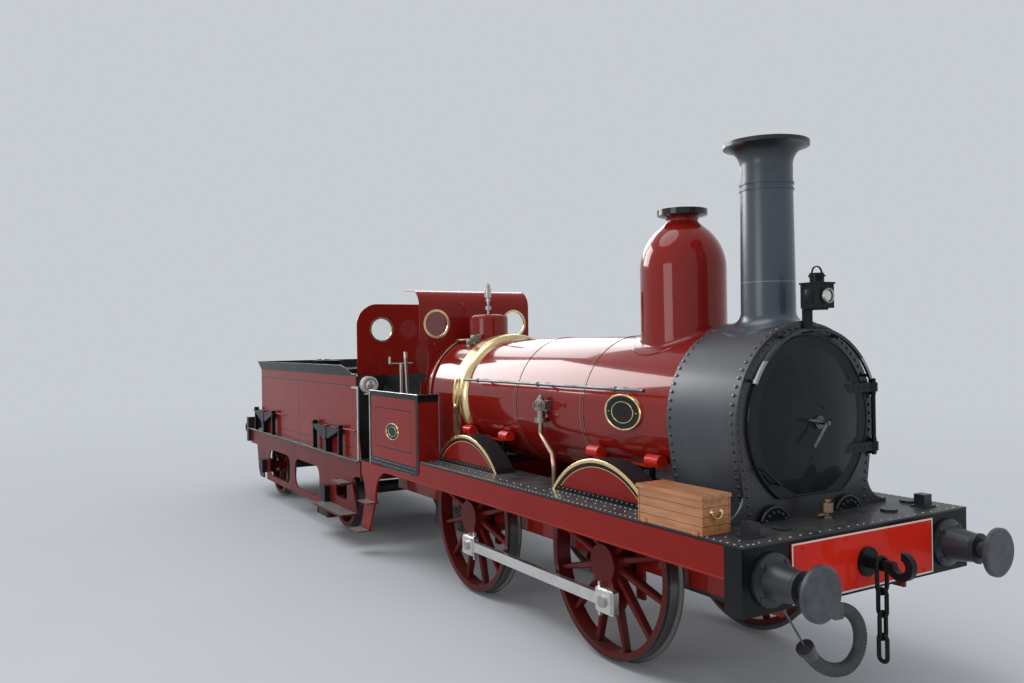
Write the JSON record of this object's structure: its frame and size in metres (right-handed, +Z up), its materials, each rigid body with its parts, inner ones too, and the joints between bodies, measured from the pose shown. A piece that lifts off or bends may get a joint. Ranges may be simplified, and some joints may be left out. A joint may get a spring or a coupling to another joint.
{
  "type": "steam locomotive",
  "caption": "Four-wheeled steam locomotive with tall chimney, bottle-shaped dome, open weatherboard cab and a close-coupled four-wheeled tender.",
  "frame": {"origin": "midway between the front and rear buffer faces, on the centre line, at the lowest point of the wheel flanges", "axes": "+X forward along the boiler, +Y to the engine's left, +Z up"},
  "size_m": [12.53, 2.52, 3.9078],
  "materials": {
    "crimson": "glossy dark crimson paint",
    "signal_red": "bright red paint",
    "black": "black paint",
    "smoke_black": "satin blue-black paint",
    "steel": "bright steel",
    "brass": "polished brass",
    "wood": "varnished wood",
    "glass": "clear glass",
    "rubber": "ribbed grey rubber",
    "copper": "dull copper pipe",
    "white": "white paint",
    "iron": "bare cast iron"
  },
  "bodies": {
    "engine": {"ashpan": "iron", "axleboxes": "black", "barrel": "crimson", "beam_panel": "signal_red", "brass_band": "brass", "cab_fittings": "steel", "cab_floor": "black", "cab_sheet": "crimson", "cab_sides": "crimson", "cab_window_glass": "glass", "cab_window_rims": "brass", "chimney": "smoke_black", "cylinders": "iron", "dome": "crimson", "engine_rails": "steel", "engine_springs": "black", "firebox": "crimson", "front_beam": "black", "front_buffers": "smoke_black", "front_coupling": "black", "front_lamp": "black", "hose_fittings": "steel", "lubricator": "brass", "main_frames": "crimson", "pipework": "copper", "running_board": "black", "smokebox": "smoke_black", "smokebox_fittings": "black", "splashers": "crimson", "toolbox": "wood", "vacuum_hose": "rubber", "valances": "crimson", "valve_casing": "crimson", "whistle": "steel"},
    "front_wheels": {"front_wheels": "crimson"},
    "rear_wheels": {"rear_wheels": "crimson"},
    "coupling_rod_right": {"coupling_rod_right": "steel"},
    "coupling_rod_left": {"coupling_rod_left": "steel"},
    "smokebox_door": {"smokebox_door": "smoke_black", "door_dart": "steel"},
    "fire_door": {"fire_door": "black"},
    "toolbox_lid": {"toolbox_lid": "wood"},
    "tender": {"tender_axleboxes": "black", "tender_coping": "black", "tender_drawbar": "black", "tender_filler": "black", "tender_footplate": "black", "tender_frames": "crimson", "tender_lamp": "white", "tender_rails": "steel", "tender_screen": "crimson", "tender_springs": "black", "tender_tank": "crimson", "tender_window_glass": "glass", "tender_window_rims": "brass", "rear_buffers": "smoke_black", "rear_coupling": "black"},
    "tender_front_wheels": {"tender_front_wheels": "crimson"},
    "tender_rear_wheels": {"tender_rear_wheels": "crimson"},
    "tender_filler_lid": {"tender_filler_lid": "black"}
  },
  "joints": [
    {"name": "front_wheels_turn", "type": "hinge", "parent": "engine", "child": "front_wheels", "pos_m": [4.14, 0, 0.764], "axis": [0, 1, 0], "continuous": true},
    {"name": "rear_wheels_turn", "type": "hinge", "parent": "engine", "child": "rear_wheels", "pos_m": [1.925, 0, 0.764], "axis": [0, 1, 0], "continuous": true},
    {"name": "coupling_rod_right_turn", "type": "hinge", "parent": "front_wheels", "child": "coupling_rod_right", "pos_m": [4.23406, 0, 0.50558], "axis": [0, 1, 0], "continuous": true},
    {"name": "coupling_rod_left_turn", "type": "hinge", "parent": "front_wheels", "child": "coupling_rod_left", "pos_m": [4.39842, 0, 0.85806], "axis": [0, 1, 0], "continuous": true},
    {"name": "smokebox_door_swing", "type": "hinge", "parent": "engine", "child": "smokebox_door", "pos_m": [5.461, 0.655, 1.906], "axis": [0, 0, 1], "range_deg": [0, 110]},
    {"name": "fire_door_swing", "type": "hinge", "parent": "engine", "child": "fire_door", "pos_m": [0.551, 0.262, 1.528], "axis": [0, 0, -1], "range_deg": [0, 100]},
    {"name": "toolbox_lid_lift", "type": "hinge", "parent": "engine", "child": "toolbox_lid", "pos_m": [5.235, -0.86, 1.491], "axis": [-1, 0, 0], "range_deg": [0, 95]},
    {"name": "tender_swing", "type": "hinge", "parent": "engine", "child": "tender", "pos_m": [-0.305, 0, 0.878], "axis": [0, 0, 1], "range_deg": [-3, 3]},
    {"name": "tender_front_wheels_turn", "type": "hinge", "parent": "tender", "child": "tender_front_wheels", "pos_m": [-1.73, 0, 0.513], "axis": [0, 1, 0], "continuous": true},
    {"name": "tender_rear_wheels_turn", "type": "hinge", "parent": "tender", "child": "tender_rear_wheels", "pos_m": [-4.875, 0, 0.513], "axis": [0, 1, 0], "continuous": true},
    {"name": "tender_filler_lid_lift", "type": "hinge", "parent": "tender", "child": "tender_filler_lid", "pos_m": [-4.999, 0, 2.222], "axis": [0, -1, 0], "range_deg": [0, 100]}
  ],
  "couplings": [
    {"joint": "rear_wheels_turn", "follows": "front_wheels_turn", "ratio": 1},
    {"joint": "coupling_rod_right_turn", "follows": "front_wheels_turn", "ratio": -1},
    {"joint": "coupling_rod_left_turn", "follows": "front_wheels_turn", "ratio": -1}
  ]
}
